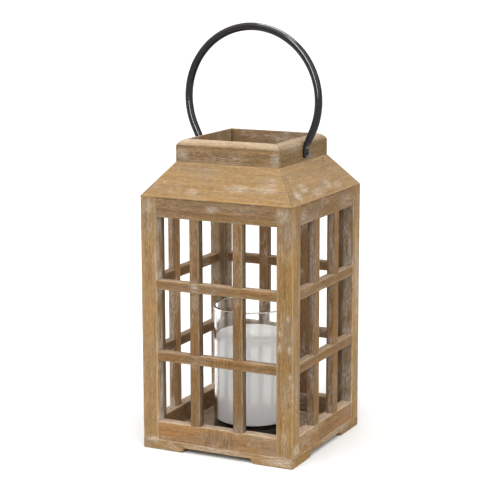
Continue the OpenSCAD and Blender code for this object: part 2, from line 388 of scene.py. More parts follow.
# Iron plate under matt black stove paint: near black, a little powdery.
def standMaterial(look):
    m = newMaterial("matt black painted iron")
    place = addNode(m, "ShaderNodeTexCoord").outputs["Object"]
    powder = addNode(m, "ShaderNodeTexNoise",
                     {"Vector": place, "Scale": look["powder"], "Detail": 3.0}).outputs["Fac"]
    color = addNode(m, "ShaderNodeMix",
                    {0: powder, 6: hexColor(look["deep"]), 7: hexColor(look["dusty"])},
                    data_type="RGBA").outputs[2]
    bump = addNode(m, "ShaderNodeBump", {"Height": powder, "Distance": look["relief"]}).outputs[0]
    shader = addNode(m, "ShaderNodeBsdfPrincipled",
                     {"Base Color": color, "Roughness": 0.7, "Normal": bump})
    return output(m, shader)


fir = firMaterial(caseLook)
roofFir = firMaterial(roofLook)
blackSteel = blackSteelMaterial(ironLook)
clearGlass = glassMaterial()
wax = waxMaterial(waxLook)
cotton = cottonMaterial(cottonLook)
blackIron = standMaterial(plateLook)
print("materials made")


boardWear = dict(
    arris=0.7 * mm,          # how round the eased edges are
    arrisSpread=0.35 * mm,   # how much rounder they get where they are worn
    arrisMost=3.2 * mm,      # the roundest that a worn edge gets
    ridge=0.09 * mm,         # depth of the brushed-out soft rings
    ridgeWide=2.2 * mm,
    ridgeLong=60 * mm,
    wave=0.03 * mm,          # planed unevenness
    waveWide=14 * mm,
    waveLong=45 * mm,
    wornLong=24 * mm,        # how far a worn stretch of an edge runs
    dentLong=6 * mm,         # and a dent in it
    across=0.75 * mm,        # spacing of points round a board
    along=3.0 * mm,          # spacing of points along it
    endRound=0.6 * mm,
    rubbed=0.55,             # how much stain the arrises have lost
    rubbedWide=1.1 * mm,     # and how far in from each
    inwardPaintedLight=0.25,          # painted light: how much lighter the faces are that look into the case
    ledgePaintedLight=0.37,          # and painted light on those that look up
    uneven=0.05,             # how far boards differ in tone
    unevenWarm=0.06,
)


# Places where more whitewash was left: (x, y, z), half sizes and strength, in millimetres.
washSpots = [
    # front posts
    ((-95, -105, 314), (10, 8, 14), 0.4), ((-93, -105, 290), (9, 8, 26), 0.2),
    ((92, -105, 316), (12, 8, 12), 0.6), ((97, -105, 296), (7, 8, 20), 0.35),
    ((92, -105, 170), (6, 8, 30), 0.2), ((94, -105, 88), (6, 8, 34), 0.22),
    ((95, -105, 38), (6, 8, 24), 0.3), ((88, -105, 171), (3.5, 6, 5), 0.8),
    ((88, -105, 153), (3.5, 6, 7), 0.7), ((101, -105, 151), (3, 6, 7), 0.75),
    ((99, -105, 190), (3, 6, 5), 0.7), ((102, -105, 118), (3, 6, 5), 0.6),
    # posts seen from the right
    ((105, -99, 302), (6, 6, 24), 0.3), ((105, -92, 80), (5, 6, 60), 0.25),
    ((105, -93, 22), (5, 11, 9), 0.7), ((105, 96, 200), (5, 10, 110), 0.35),
    # plinth
    ((-90, -105, 13), (12, 8, 4), 0.7), ((88, -105, 8), (30, 14, 9), 0.55),
    ((0, -105, 10), (60, 8, 5), 0.45), ((105, 30, 10), (5, 60, 5), 0.5),
    # rails and lattice in front
    ((-4, -105, 317), (13, 6, 5), 0.6), ((40, -105, 318), (30, 6, 8), 0.2),
    ((-64, -105, 318), (16, 6, 8), 0.15), ((-30, -105, 294), (8, 6, 8), 0.3),
    ((-30, -105, 218), (8, 6, 10), 0.55), ((-30, -105, 198), (7, 6, 14), 0.5),
    ((-30, -105, 118), (9, 6, 8), 0.3), ((30, -105, 206), (8, 6, 10), 0.35),
    ((30, -105, 40), (9, 6, 9), 0.4),
    # rails on the right
    ((105, 60, 312), (5, 30, 9), 0.35), ((105, -72, 313), (5, 12, 9), 0.6),
    ((105, -40, 34), (5, 40, 6), 0.35),
    # front of the roof
    ((-36, -98, 336), (12, 10, 6), 0.6), ((24, -92, 343), (26, 14, 7), 0.6),
    ((62, -90, 344), (24, 16, 8), 0.6), ((-66, -98, 336), (10, 10, 5), 0.35),
    ((-76, -90, 345), (12, 10, 8), 0.3), ((68, -84, 352), (14, 10, 10), 0.5),
    # right of the roof
    ((92, -50, 342), (14, 16, 9), 0.75), ((97, -74, 337), (14, 14, 9), 0.8),
    ((99, -20, 334), (12, 26, 7), 0.6), ((95, 18, 339), (12, 14, 7), 0.7),
    ((98, 44, 335), (12, 18, 6), 0.55), ((86, -14, 350), (12, 16, 6), 0.35),
    ((82, -66, 356), (10, 8, 10), 0.5), ((86, 60, 350), (12, 12, 12), 0.3),
    # collar
    ((-62, -72, 378), (12, 6, 10), 0.5), ((66, -72, 378), (9, 8, 12), 0.5),
    ((-60, -64, 394), (14, 12, 5), 0.7), ((70, -30, 390), (8, 44, 9), 0.5),
    ((72, 12, 374), (5, 16, 10), 0.3),
    # back and left
    ((0, 105, 312), (50, 6, 8), 0.4), ((-105, 30, 312), (5, 30, 9), 0.4),
    ((-60, 98, 336), (30, 16, 8), 0.5), ((30, 94, 341), (24, 12, 8), 0.5),
    ((-96, 20, 338), (14, 40, 9), 0.5), ((-90, -40, 347), (14, 26, 9), 0.5),
    ((-100, 105, 290), (8, 6, 40), 0.4), ((100, 105, 60), (8, 6, 50), 0.4),
    ((-105, -96, 160), (5, 10, 70), 0.3), ((-105, 98, 90), (5, 10, 60), 0.35),
    ((20, 105, 10), (60, 6, 6), 0.45), ((-105, 10, 20), (5, 50, 9), 0.45),
]


# The outline of a board's section, as arrays with one entry for each point. Each corner is an
# arc whose points are the corner plus its radius times a fixed vector, its pull, so one outline
# serves every radius. A side is divided evenly, and its points are pulled by both its corners:
# point = base + pullA * radius of corner A + pullB * radius of corner B.
def sectionOutline(cornerPoints, radii, arcSteps=4):
    c = np.array(cornerPoints, float)
    count = len(c)
    toPrev, toNext = (np.roll(c, shift, 0) - c for shift in (1, -1))
    toPrev /= np.linalg.norm(toPrev, axis=1)[:, None]
    toNext /= np.linalg.norm(toNext, axis=1)[:, None]
    middle = toPrev + toNext
    middle /= np.linalg.norm(middle, axis=1)[:, None]
    opening = np.arccos(np.clip((toPrev * toNext).sum(1), -1, 1))
    centre = middle / np.sin(opening / 2)[:, None]           # arc's centre, per unit of radius
    outPrev = np.stack([toPrev[:, 1], -toPrev[:, 0]], 1)     # the normals of the sides before
    outNext = np.stack([-toNext[:, 1], toNext[:, 0]], 1)     # and after each corner
    outPrev *= np.sign(-(outPrev * middle).sum(1))[:, None]
    outNext *= np.sign(-(outNext * middle).sum(1))[:, None]
    parts = []
    for k in range(count):
        n = (k + 1) % count
        share = np.linspace(0, 1, arcSteps + 1)[:, None]
        turn = outPrev[k] * (1 - share) + outNext[k] * share
        turn /= np.linalg.norm(turn, axis=1)[:, None]
        arc = centre[k] + turn
        corner = np.full(arcSteps + 1, k)
        parts.append((np.repeat(c[k][None], arcSteps + 1, 0), arc, np.zeros_like(arc), corner, corner,
                      turn, np.zeros(arcSteps + 1)))
        lastArc, firstArc = centre[k] + outNext[k], centre[n] + outPrev[n]
        length = np.linalg.norm(c[n] + radii[n] * firstArc - c[k] - radii[k] * lastArc)
        steps = max(int(round(length / boardWear["across"])), 1)
        f = (np.arange(1, steps) / steps)[:, None]
        parts.append((c[k] * (1 - f) + c[n] * f, lastArc * (1 - f), firstArc * f,
                      np.full(len(f), k), np.full(len(f), n), np.repeat(outNext[k][None], len(f), 0),
                      np.minimum(f, 1 - f)[:, 0] * length))
    names = ("base", "pullA", "pullB", "cornerA", "cornerB", "normal", "arris")
    return {name: np.concatenate(part) for name, part in zip(names, zip(*parts))}


# The places along a board, one row for each step and one column for each point of its section,
# and how far the section is drawn in at each row. The middle is even, and from there the rows
# stretch out to each point's own reach and end in a quarter round.
def boardPlaces(far, wear, steps, closer):
    roundEnd = wear["endRound"]
    core = far.min() - 4 * roundEnd
    places = np.linspace(-core, core, int(round(2 * core / wear["along"])) + 1)
    edges = np.array([edge for start, end, _ in steps for edge in (start, end)])
    places = np.concatenate([places, edges - 0.03 * mm, edges + 0.03 * mm, np.array(closer, float)])
    places = np.unique(np.round(places[(places >= -core) & (places <= core)], 7))
    blends = 1 + int((far.max() - far.min()) / wear["along"])
    blend = np.arange(1, blends + 1)[:, None] / (blends + 1)
    angles = np.radians([22.5, 45, 67.5, 90])
    gaps = roundEnd * np.concatenate([[1], 1 - np.sin(angles)])
    drawnIn = roundEnd * np.concatenate([[0], 1 - np.cos(angles)])
    rightEnd = np.vstack([core + blend * (far - roundEnd - core), far - gaps[:, None]])
    x = np.vstack([-rightEnd[::-1], np.repeat(places[:, None], len(far), 1), rightEnd])
    return x, np.concatenate([drawnIn[::-1], np.zeros(len(places) + 2 * blends), drawnIn])


# The section's points at every place: each corner's radius is its own plus the wear there, and
# each point sinks along its normal by the ridges and waves, two layers of noise that wrap round
# the board.
def wornSection(line, radii, flat, x, inset, wear):
    around = np.concatenate([[0], np.cumsum(np.linalg.norm(np.diff(flat, axis=0), axis=1))])
    lap = around[-1] + np.linalg.norm(flat[-1] - flat[0])
    table = luck.random((64, 64))
    start = luck.random(3) * 40

    def lay(wide, long, shift):
        cells = max(int(round(lap / wide)), 3)
        return softNoise(around / lap * cells, x / long + shift + 30, luck.random((cells, 64)))

    ridges = lay(wear["ridgeWide"], wear["ridgeLong"], start[0])
    waves = lay(wear["waveWide"], wear["waveLong"], start[1])
    middle = x.mean(1)[:, None]
    corner = np.arange(len(radii))
    rounder = softNoise(middle / wear["wornLong"] + start[0] + 40, corner * 7.3, table) ** 2
    dents = softNoise(middle / wear["dentLong"] + start[1] + 40, corner * 5.1 + 0.5, table)
    rounder = rounder + 3.2 * np.clip(dents - 0.72, 0, 1)
    r = np.minimum(radii + wear["arrisSpread"] * rounder, np.maximum(radii, wear["arrisMost"]))
    points = (line["base"] + line["pullA"] * r[:, line["cornerA"], None]
              + line["pullB"] * r[:, line["cornerB"], None])
    sink = wear["ridge"] * ridges + wear["wave"] * waves + inset[:, None]
    return points - line["normal"] * sink[..., None]


# A board: its section is carried along x from end to end. reach gives how far each point of
# the section goes, so a mitred end is a reach that grows with the distance from the middle.
# turn puts the board's own (along, y, z) into the object's frame, and outward is the way that
# its face looks. steps holds (from, to, change): between those two places along the board,
# change(section) gives the section's new points, as in a half lap or between two feet. marks
# holds rules that redo one of the values: rule(section, x, distance from the end, old value).
def boardMesh(name, cornerPoints, radii, reach, turn, outward, steps=(), centre=None, wear=boardWear,
              tone=1.0, warm=1.0, red=0.0, marks=None, closer=()):
    radii = np.array(radii, float)
    line = sectionOutline(cornerPoints, radii)
    flat = (line["base"] + line["pullA"] * radii[line["cornerA"]][:, None]
            + line["pullB"] * radii[line["cornerB"]][:, None])
    far = reach(flat)
    x, inset = boardPlaces(far, wear, steps, closer)
    points = wornSection(line, radii, flat, x, inset, wear)
    for start, end, change in steps:
        inside = ((x > start) & (x < end))[..., None]
        points = np.where(inside, change(points, x), points)

    full = np.concatenate([x[..., None], points], -1)
    grain = full + luck.random(3) * np.array([3, 0.4, 0.4])
    matrix = np.array(turn.to_3x3())
    shift = np.array(turn.translation)
    world = full @ matrix.T + shift
    pole = np.array(cornerPoints).mean(0) if centre is None else np.array(centre)
    poleFar = reach(pole[None])[0]
    startPole, endPole = (np.array([end, *pole]) @ matrix.T + shift for end in (-poleFar, poleFar))

    # what the materials read at each point
    normal = np.concatenate([np.zeros((len(flat), 1)), line["normal"]], 1) @ matrix.T
    facing = normal @ np.array(outward, float)
    ledge = smooth(normal[:, 2], 0.4, 0.9)                   # faces that look up get whitewash, as dust and painted light
    # inner: faces that look sideways or into the case, which get painted shade and thicker whitewash
    inner = (1 - smooth(facing, 0.1, 0.75)) * (1 - ledge)
    worn = wear["rubbed"] * np.exp(-line["arris"] / wear["rubbedWide"])
    wash = 0.5 * ledge
    for spot, size, strength in washSpots:
        gap = np.linalg.norm((world - np.array(spot) * mm) / (np.array(size) * mm), axis=-1)
        wash = np.maximum(wash, strength * smooth(1.25 - gap, 0, 1.1))
    # tone gets painted light on the faces that look into the case and on those that look up
    lift = 1 + wear["inwardPaintedLight"] * smooth(-facing, 0.3, 0.9) + wear["ledgePaintedLight"] * ledge
    tone = (tone + wear["uneven"] * (luck.random() - 0.5)) * lift
    warm = warm + wear["unevenWarm"] * (luck.random() - 0.5)
    values = dict(worn=worn, inner=inner, wash=wash, grimeAndShade=0.0, ticks=0.0, tone=tone, warm=warm, red=red)
    values = {key: np.broadcast_to(value, x.shape) for key, value in values.items()}
    for key, rule in (marks or {}).items():
        changed = rule(points, x, far - np.abs(x), values[key])
        values[key] = np.clip(np.broadcast_to(changed, x.shape), 0, 2)
    return gridMesh(name, world, startPole, endPole, dict(grain=grain, **values))


# Every board belongs to the case.
def finishBoard(board, node, material=fir, slotName="weathered_wood"):
    return finishPiece(board, material, "case", slotName, node)


# Turns a board that was drawn for the front to side n.
def sideTurn(n):
    return Matrix.Rotation(math.radians(90 * n), 4, "Z")


# Puts an upright board's own x axis up, its y axis across the wall and its z axis towards the case.
def uprightTurn(n, x, y, z):
    axes = Matrix(((0, 1, 0, x), (0, 0, 1, y), (1, 0, 0, z), (0, 0, 0, 1)))
    return sideTurn(n) @ axes


# The way that a board of side n looks, given for the front, where it is -y.
def outwards(n, x=0, y=-1, z=0):
    return sideTurn(n) @ Vector((x, y, z))


# A section's corners, in the plane across the board.
def rectangle(y0, z0, y1, z1):
    return [(y0, z0), (y1, z0), (y1, z1), (y0, z1)]


# How far a section's points reach from the middle: all of them to a square end.
def squareEnd(length):
    return lambda section: np.full(len(section), length)


# A mitre runs at 45 degrees, so each point reaches as far as it lies from the lantern's middle.
def mitreEnd(gap=0.0):
    return lambda section: -section[:, 0] - gap


# 1 on a face that lies w out from the middle, and 0 on the faces beside it.
def onFace(out, w):
    return smooth(out, w - 1.2 * mm, w - 0.6 * mm)


# Noise that changes along a board only, with spots as long as long.
def alongNoise(x, long, table):
    return softNoise(x / long + 40, x * 0, table)


tuck = 1.0 * mm                        # how far a board runs on into its neighbour, out of sight
eased = boardWear["arris"]


plinth = dict(footLong=57 * mm, archTall=6.5 * mm, wide=20 * mm, tone=0.82,
              footRound=[1.0 * mm, 8.0 * mm, 1.0 * mm, 2.5 * mm],
              radii=[0.9 * mm, 0.9 * mm, 0.25 * mm, 0.25 * mm])


# Each plinth board stands on two feet. footRound gives how far the end of each corner's feet is
# rounded: the front right corner has been knocked about the most.
def makePlinth(n):
    archX = half - plinth["footLong"]
    tall = plinth["archTall"]
    leftRound, rightRound = plinth["footRound"][n], plinth["footRound"][(n + 1) % 4]
    left, right = -archX - leftRound, archX + rightRound

    # the arch between the feet, with a quarter of an ellipse at each end
    def lift(p, x):
        past = np.where(x < 0, (-archX - x) / leftRound, (x - archX) / rightRound)
        under = tall * (1 - np.sqrt(1 - (1 - np.clip(past, 0, 1)) ** 2))
        return np.stack([p[..., 0], np.maximum(p[..., 1], under)], -1)

    # dirt in the mitres, and painted shade along the underside where the plinth meets the floor
    def darkening(p, x, fromEnd, old):
        return np.maximum(0.4 * smooth(-fromEnd, -0.7 * mm, -0.2 * mm),
                          0.5 * smooth(-p[..., 1], -2.2 * mm, -0.6 * mm))

    def rubbed(p, x, fromEnd, old):
        return old * np.where(p[..., 1] < plinthHigh[2] - 3 * mm, 1, 0.2)

    board = boardMesh(f"{sides[n]}_plinth_board",
                      rectangle(-half, 0, plinth["wide"] - half, plinthHigh[2]), plinth["radii"],
                      mitreEnd(), sideTurn(n), outwards(n), steps=[(left, right, lift)],
                      tone=plinth["tone"], marks=dict(grimeAndShade=darkening, worn=rubbed),
                      closer=np.concatenate([np.linspace(-archX, left, 12), np.linspace(archX, right, 12)]))
    return finishBoard(board, f"{sides[n]}_plinth")


openings = [(bottomHigh[2], lowerLow[2]), (lowerHigh[2], barLow[2]), (barHigh[2], topLow[2])]
openingWash = dict(footLong=20 * mm, headLong=26 * mm, headShare=0.7, patchLong=9 * mm,
                   streak=0.6, streakLong=26 * mm)


# Whitewash on the faces that look into the openings. It settles above each bar, and less below
# the next one, and is left in streaks between. places holds the ends of each opening along the
# board, and depth runs from 0 outside to 1 inside.
def washInOpenings(x, places, depth, strength):
    w = openingWash
    dust = np.zeros(x.shape)
    for low, high in places:
        foot = 1 - smooth(x - low, 2 * mm, w["footLong"])
        head = w["headShare"] * (1 - smooth(high - x, 2 * mm, w["headLong"]))
        here = (x > low - 1 * mm) & (x < high + 1 * mm)
        dust = np.maximum(dust, strength * here * np.maximum(foot, head))
    patchy = softNoise(x / w["patchLong"] + 40, x * 0 + luck.random() * 9, luck.random((64, 16)))
    streaky = softNoise(x / w["streakLong"] + 40, depth * 6 + luck.random() * 9, luck.random((64, 16)))
    streaks = w["streak"] * smooth(depth, 0.04, 0.2) * smooth(streaky, 0.3, 0.75)
    return np.maximum(dust * (0.45 + 0.55 * patchy), streaks)


# The values for each corner come in the order of corners, from the front left one. The painted light on the
# faces that look into the case turns to painted shade where it is below 0.
post = dict(tone=[0.88, 0.75, 0.88, 0.8], inwardPaintedLight=[0.25, 0.25, -0.25, 0.12],
            # the sides darken deep inside: painted shade with some dirt
            sideWash=[1, 1, 1, 0.6], sideDirtAndShade=[0.7, 0.7, 0.7, 0.5], rightLift=0.16, topFade=0.15,
            washStrength=0.9, pitch=0.3, pitchAt=1.8 * mm, warm=0.98,
            facing=(-math.sqrt(0.5), -math.sqrt(0.5)),       # outwards over the corner
            wear=dict(boardWear, endRound=0.3 * mm, rubbed=0.35))


# A square corner post. Its section's two high sides look into the openings, and its two low
# ones outwards.
def makePost(n):
    low, high = postLow, postHigh
    middle = (low + high) / 2
    w = (high[0] - low[0]) / 2
    tall = (high[2] - low[2]) / 2
    places = [(foot - middle[2], head - middle[2]) for foot, head in openings]
    pitchNoise = luck.random((64, 4))

    def onSides(p):
        return onFace(np.maximum(p[..., 0], p[..., 1]), w)

    def depth(p):
        return (np.minimum(p[..., 0], p[..., 1]) + w) / (2 * w)

    def wash(p, x, fromEnd, old):
        washed = washInOpenings(x, places, depth(p), post["washStrength"]) * onSides(p)
        return np.maximum(old, washed * (1 - smooth(depth(p), 0.55, 0.8)) * post["sideWash"][n])

    # dark deep inside, painted shade with some dirt, and a dark seam of pitch beside the outer arris
    def darkening(p, x, fromEnd, old):
        deep = post["sideDirtAndShade"][n] * onSides(p) * smooth(depth(p), 0.5, 0.78)
        seam = smooth(1.2 * mm - np.abs(p[..., 1] + w - post["pitchAt"]), 0, 0.8 * mm)
        broken = alongNoise(x, 30 * mm, pitchNoise)
        return deep + post["pitch"] * seam * (p[..., 0] < -w + 0.6 * mm) * broken

    # the front right post is lighter on its right, and each darkens towards the top
    def tone(p, x, fromEnd, old):
        right = (n == 1) * (p[..., 1] < -w + 0.6 * mm)
        return (old * (1 + post["rightLift"] * right)
                * (1 - post["topFade"] * smooth(x, tall - 70 * mm, tall - 20 * mm)))

    board = boardMesh(f"{corners[n]}_corner_post", rectangle(-w, -w, w, w), [eased] * 4,
                      squareEnd(tall), uprightTurn(n, *middle),
                      outwards(n, *post["facing"]), tone=post["tone"][n], warm=post["warm"],
                      marks=dict(wash=wash, grimeAndShade=darkening, tone=tone),
                      wear=dict(post["wear"], inwardPaintedLight=post["inwardPaintedLight"][n]))
    return finishBoard(board, f"{corners[n]}_post")


# The values for each side come in the order of sides. The saw marks reach sawn from the middle.
# The top rails are toned darker as painted shade under the eaves, and the back bottom rail, seen only from
# inside, as painted shade inside the case.
rail = dict(top=dict(tone=[0.6, 0.63, 0.6, 0.6], warm=0.98, red=0.7,
                     radii=[eased, eased, 0.5 * mm, 1.2 * mm]),
            bottom=dict(tone=[0.81, 0.81, 0.62, 0.81], warm=1.0, red=1.0,
                        radii=[0.3 * mm, 0.3 * mm, eased, eased]),
            eavesShadowAndDirt=0.6, sawn=27 * mm, sawnFade=7 * mm, sawnDark=0.13)


# 1 over the saw marks in the middle of a board, and 0 beyond them.
def sawnPart(x):
    return 1 - smooth(np.abs(x), rail["sawn"] - rail["sawnFade"], rail["sawn"])


# The top rails meet the eaves in a dark line of painted shadow and dirt, and the middle of the bottom rails
# keeps its saw marks.
def makeRail(n, level):
    low, high = (topLow, topHigh) if level == "top" else (bottomLow, bottomHigh)
    look = rail[level]

    # painted shadow under the eaves, with some dirt, broken along the rail
    def eavesLine(p, x, fromEnd, old):
        line = smooth(p[..., 1], high[2] - 1.6 * mm, high[2] - 0.6 * mm)
        broken = smooth(alongNoise(x, 7 * mm, luck.random((64, 4))), 0.1, 0.6)
        return rail["eavesShadowAndDirt"] * line * broken

    def topRubbed(p, x, fromEnd, old):
        return old * (p[..., 1] < high[2] - 4 * mm)

    def bottomRubbed(p, x, fromEnd, old):
        return old * np.where(p[..., 1] > low[2] + 3 * mm, 1, 0.2)

    def sawMarks(p, x, fromEnd, old):
        return sawnPart(x)

    def tone(p, x, fromEnd, old):
        return old * (1 - rail["sawnDark"] * sawnPart(x))

    marks = (dict(grimeAndShade=eavesLine, worn=topRubbed) if level == "top"
             else dict(ticks=sawMarks, worn=bottomRubbed, tone=tone))
    board = boardMesh(f"{sides[n]}_{level}_rail_board", rectangle(low[1], low[2], high[1], high[2]),
                      look["radii"], squareEnd(openHalf + tuck), sideTurn(n), outwards(n),
                      tone=look["tone"][n], warm=look["warm"], red=look["red"], marks=marks)
    return finishBoard(board, f"{sides[n]}_{level}_rail")


# The faces of the lattice that look into the case get painted light.
lattice = dict(barTone=dict(upper=0.61, lower=0.58), barWarm=1.03, barRed=1.0,
               muntinTone=[0.55, 0.6, 0.57, 0.98], muntinWarm=1.02, muntinRed=0.9,
               # the sides of the muntins darken deep inside: painted shade with some dirt
               washStrength=0.8, sideDirtAndShade=0.22, wear=dict(boardWear, inwardPaintedLight=0.7),
               frontSidePaintedShade=[0.42, 0.18])     # painted shade on the sides of the two front muntins


# A level bar, cut back to half its depth where the two muntins cross it.
def makeBar(n, level):
    low, high = (barLow, barHigh) if level == "upper" else (lowerLow, lowerHigh)
    lapY = (low[1] + high[1]) / 2

    def cutBack(p, x):
        return np.stack([np.minimum(p[..., 0], lapY), p[..., 1]], -1)

    def sawMarks(p, x, fromEnd, old):
        return sawnPart(x) * (level == "lower")

    laps = [(muntinLow[0], muntinHigh[0]), (-muntinHigh[0], -muntinLow[0])]
    board = boardMesh(f"{sides[n]}_{level}_lattice_bar",
                      rectangle(low[1], low[2], high[1], high[2]), [eased] * 4,
                      squareEnd(openHalf + tuck), sideTurn(n), outwards(n),
                      steps=[(start, end, cutBack) for start, end in laps],
                      tone=lattice["barTone"][level], warm=lattice["barWarm"], red=lattice["barRed"],
                      marks=dict(ticks=sawMarks))
    return finishBoard(board, f"{sides[n]}_{level}_bar")


# An upright bar, cut back from the front where the two level bars cross it.
def makeMuntin(n, number):
    x, y, z = (muntinLow + muntinHigh) / 2
    w, d, tall = (muntinHigh - muntinLow) / 2
    places = [(foot - z, head - z) for foot, head in openings]

    def cutFront(p, x):
        return np.stack([p[..., 0], np.maximum(p[..., 1], 0)], -1)

    def onSides(p):
        return onFace(np.abs(p[..., 0]), w)

    def depth(p):
        return (p[..., 1] + d) / (2 * d)

    def wash(p, x, fromEnd, old):
        washed = washInOpenings(x, places, depth(p), lattice["washStrength"]) * onSides(p)
        return np.maximum(old, washed * smooth(depth(p), 0.05, 0.2) * (1 - smooth(depth(p), 0.6, 0.85)))

    # darker deep inside the sides: painted shade with some dirt
    def darkening(p, x, fromEnd, old):
        return lattice["sideDirtAndShade"] * onSides(p) * smooth(depth(p), 0.6, 0.9)

    # painted shade on the sides of the two front muntins
    def tone(p, x, fromEnd, old):
        return old * (1 - lattice["frontSidePaintedShade"][number - 1] * onSides(p) * (n == 0))

    # the front right arris is palest: rubbed the most, and a painted highlight
    def rubbed(p, x, fromEnd, old):
        arris = (p[..., 1] < -d + 1.5 * mm) & (p[..., 0] > w - 1.5 * mm)
        return old * np.where(arris, 1.65, 0.35)

    laps = [(lowerLow[2] - z, lowerHigh[2] - z), (barLow[2] - z, barHigh[2] - z)]
    board = boardMesh(f"{sides[n]}_muntin_board_{number}", rectangle(-w, -d, w, d), [eased] * 4,
                      squareEnd(tall + tuck), uprightTurn(n, x if number == 1 else -x, y, z), outwards(n),
                      steps=[(start, end, cutFront) for start, end in laps],
                      tone=lattice["muntinTone"][n], warm=lattice["muntinWarm"], red=lattice["muntinRed"],
                      marks=dict(wash=wash, grimeAndShade=darkening, tone=tone, worn=rubbed),
                      wear=lattice["wear"])
    return finishBoard(board, f"{sides[n]}_muntin_{number}")


roof = dict(thick=12 * mm, eaveEdge=1.5 * mm, tone=0.63, warm=1.04,
            radii=[0.5 * mm, 0.3 * mm, 0.3 * mm, 0.3 * mm, 0.5 * mm],
            facing=(0, -0.79, 0.62), hipWorn=0.9, mitreDirt=0.4,
            wear=dict(boardWear, arrisSpread=0.4 * mm, endRound=0.35 * mm),
            # (place along, height, half size along, half size up, strength) of the nick and the
            # knots in the right panel
            scars=[(51.5 * mm, 366 * mm, 2.6 * mm, 2.6 * mm, 0.8),
                   (50 * mm, 362.5 * mm, 2.6 * mm, 2.2 * mm, 0.75),
                   (8 * mm, 330 * mm, 9 * mm, 1.4 * mm, 0.3),
                   (-84 * mm, 345 * mm, 2.5 * mm, 3 * mm, 0.45)])


# A sloping panel between the eaves and the collar, its two ends mitred along the hips.
def makeRoofPanel(n):
    z0, z1 = roofLow[2], roofHigh[2]
    y0, y1 = -half, collarLow[1]
    t = roof["thick"]
    outline = [(y0, z0), (y0 + t, z0), (y1 + t, z1), (y1, z1), (y0, z0 + roof["eaveEdge"])]
    hipNoise = luck.random((64, 4))

    def darkening(p, x, fromEnd, old):
        dark = roof["mitreDirt"] * smooth(-fromEnd, -0.8 * mm, -0.25 * mm)
        for along, up, long, tall, power in roof["scars"] * (n == 1):
            gap = np.hypot((x - along) / long, (p[..., 1] - up) / tall)
            dark = np.maximum(dark, power * smooth(1 - gap, 0, 0.7))
        return dark

    # a broken pale line beside each hip
    def rubbed(p, x, fromEnd, old):
        hip = smooth(fromEnd, 0.4 * mm, 0.9 * mm) * (1 - smooth(fromEnd, 1.6 * mm, 3.4 * mm))
        return np.maximum(old * 0.7, roof["hipWorn"] * hip * alongNoise(x, 5 * mm, hipNoise))

    board = boardMesh(f"{sides[n]}_roof_board", outline, roof["radii"], mitreEnd(), sideTurn(n),
                      outwards(n, *roof["facing"]), centre=((y0 + y1 + t) / 2, (z0 + z1) / 2),
                      tone=roof["tone"], warm=roof["warm"], marks=dict(grimeAndShade=darkening, worn=rubbed),
                      wear=roof["wear"])
    return finishBoard(board, f"{sides[n]}_roof_panel", roofFir, "roof_wood")


# The faces of the collar that look into the case get painted light.
collar = dict(thick=12 * mm, fall=7.8 * mm, mitreGap=0.12 * mm, tone=[0.66, 0.55, 0.6, 0.6],
              warm=0.95, crownWorn=0.38, mitreDirt=0.5, kinkDirt=0.2,
              wear=dict(boardWear, endRound=0.9 * mm, inwardPaintedLight=0.38))


# A collar board. Its outer face ends in a slight kink, and from there an arc runs up to the
# inside edge, whose radius is (thickness squared + fall squared) / (2 * fall). The round edge
# has lost its stain, and the mitres have opened a little.
def makeCollarBoard(n):
    y0, z0, z1 = collarLow[1], collarLow[2], collarHigh[2]
    t, fall = collar["thick"], collar["fall"]
    r = (t ** 2 + fall ** 2) / 2 / fall
    kink = z1 - fall
    crown = [(y0 + t + r * math.cos(a), z1 - r + r * math.sin(a))
             for a in np.linspace(math.pi / 2, math.pi - math.asin((r - fall) / r), 9)]
    radii = [0.4 * mm, 0.4 * mm, 0.5 * mm] + [0.3 * mm] * 7 + [0.4 * mm]
    dirtNoise = luck.random((32, 32))

    def rubbed(p, x, fromEnd, old):
        crownPart = smooth(p[..., 1], kink - 0.2 * mm, kink + 1.6 * mm) * (p[..., 0] < y0 + t - 0.4 * mm)
        edges = 0.5 * old * (np.abs(p[..., 1] - kink) > 2 * mm)
        return np.maximum(edges, collar["crownWorn"] * crownPart)

    # in the mitres, and a faint line along the kink
    def darkening(p, x, fromEnd, old):
        broken = 0.4 + 0.6 * softNoise(p[..., 1] / (4 * mm), p[..., 0] / (4 * mm), dirtNoise)
        line = 1 - smooth(np.abs(p[..., 1] - kink), 0.2 * mm, 1 * mm)
        return (collar["mitreDirt"] * smooth(-fromEnd, -1.1 * mm, -0.3 * mm) * broken
                + collar["kinkDirt"] * line * (p[..., 0] < y0 + t / 2))

    board = boardMesh(f"{sides[n]}_collar_trim", [(y0, z0), (y0 + t, z0)] + crown, radii,
                      mitreEnd(collar["mitreGap"]), sideTurn(n), outwards(n),
                      tone=collar["tone"][n], warm=collar["warm"], marks=dict(worn=rubbed, grimeAndShade=darkening),
                      wear=collar["wear"])
    return finishBoard(board, f"{sides[n]}_collar_board")


floor = dict(round=0.4 * mm, tone=0.6)


# The floor board, let into the plinth.
def makeFloor():
    inside = half - plinth["wide"]
    tall = (floorHigh[2] - floorLow[2]) / 2
    turn = Matrix.Translation((0, 0, floorLow[2] + tall))
    board = boardMesh("floor_panel", rectangle(-inside, -tall, inside, tall), [floor["round"]] * 4,
                      squareEnd(inside), turn, Vector((0, 0, 1)), tone=floor["tone"])
    return finishBoard(board, "floor_board")


makeFloor()
for n in range(4):
    makePlinth(n)
    makePost(n)
    makeRail(n, "top")
    makeRail(n, "bottom")
    makeBar(n, "upper")
    makeBar(n, "lower")
    makeMuntin(n, 1)
    makeMuntin(n, 2)
    makeRoofPanel(n)
    makeCollarBoard(n)
print("boards made")


